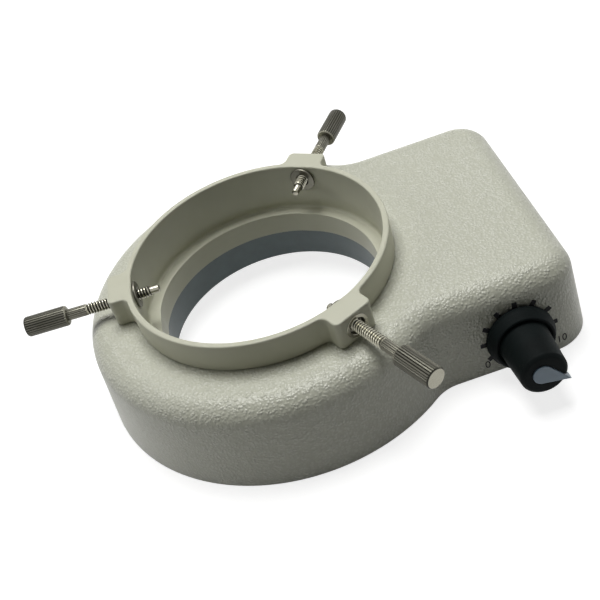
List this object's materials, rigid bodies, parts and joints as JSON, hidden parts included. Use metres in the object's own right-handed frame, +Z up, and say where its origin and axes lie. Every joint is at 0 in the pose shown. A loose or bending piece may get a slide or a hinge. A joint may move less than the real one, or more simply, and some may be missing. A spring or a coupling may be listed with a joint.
{
  "type": "microscope ring light",
  "caption": "LED ring light for a stereo microscope: cast ring and control box, clamp collar with radial thumbscrews, lamp board below and a dimmer knob on the box.",
  "frame": {"origin": "on the ring's axis, in the plane of the bottom rim", "axes": "+Z up along the ring's axis, +X from the ring towards the end of the control box; the dimmer knob is on the box's -Y wall"},
  "size_m": [0.1358, 0.1125, 0.0324],
  "materials": {
    "wrinkle_paint": "pebbled cream enamel",
    "smooth_paint": "smooth satin cream enamel",
    "nickel": "bright nickel plate",
    "dark_sleeve": "satin blue-grey",
    "zinc_steel": "zinc plate",
    "white_laminate": "white solder mask",
    "black_paint": "satin black",
    "green_laminate": "green solder mask",
    "blue_sleeve": "shrink sleeve",
    "ferrite": "matt ferrite",
    "black_plastic": "satin moulded",
    "white_plastic": "moulded",
    "grey_insulation": "wire insulation",
    "red_insulation": "wire insulation"
  },
  "bodies": {
    "body": {"housing": "wrinkle_paint", "collar": "smooth_paint", "thread_insert_a": "nickel", "thread_insert_b": "nickel", "thread_insert_c": "nickel", "inner_sleeve": "dark_sleeve", "sleeve_screw_1": "zinc_steel", "sleeve_screw_2": "zinc_steel", "sleeve_screw_3": "zinc_steel", "led_board": "white_laminate", "led_board_screw_1": "zinc_steel", "led_board_screw_2": "zinc_steel", "led_board_screw_3": "zinc_steel", "led_board_screw_4": "zinc_steel", "base_cover": "black_paint", "cover_screw_1": "zinc_steel", "cover_screw_2": "zinc_steel", "cover_screw_3": "zinc_steel", "cover_screw_4": "zinc_steel", "driver_board": "green_laminate", "driver_board_screw_1": "zinc_steel", "driver_board_screw_2": "zinc_steel", "capacitor": "blue_sleeve", "inductor": "ferrite", "driver_chip": "black_plastic", "terminal_block": "black_plastic", "potentiometer": "zinc_steel", "pot_washer": "zinc_steel", "pot_nut": "zinc_steel", "power_jack": "black_plastic", "jack_nut": "nickel", "jack_pin": "nickel", "pot_lead": "grey_insulation", "jack_lead": "red_insulation", "lamp_lead": "grey_insulation"},
    "clamp_screw_a": {"thumbscrew_a": "nickel"},
    "clamp_screw_b": {"thumbscrew_b": "nickel"},
    "clamp_screw_c": {"thumbscrew_c": "nickel"},
    "dimmer_knob": {"knob": "black_plastic", "knob_pointer": "white_plastic", "pot_shaft": "black_plastic"}
  },
  "joints": [
    {"name": "clamp_travel_a", "type": "slide", "parent": "body", "child": "clamp_screw_a", "axis": [-0.9973, 0.0732, 0], "range_m": [-0.0116, 0.0064]},
    {"name": "clamp_travel_b", "type": "slide", "parent": "body", "child": "clamp_screw_b", "axis": [0.4352, -0.9003, 0], "range_m": [-0.0141, 0.0039]},
    {"name": "clamp_travel_c", "type": "slide", "parent": "body", "child": "clamp_screw_c", "axis": [0.5621, 0.8271, 0], "range_m": [-0.0116, 0.0064]},
    {"name": "dimmer_turn", "type": "hinge", "parent": "body", "child": "dimmer_knob", "pos_m": [0.05369, -0.03659, 0.0094], "axis": [0, -0.9963, 0.0854], "range_deg": [0, 240]}
  ]
}
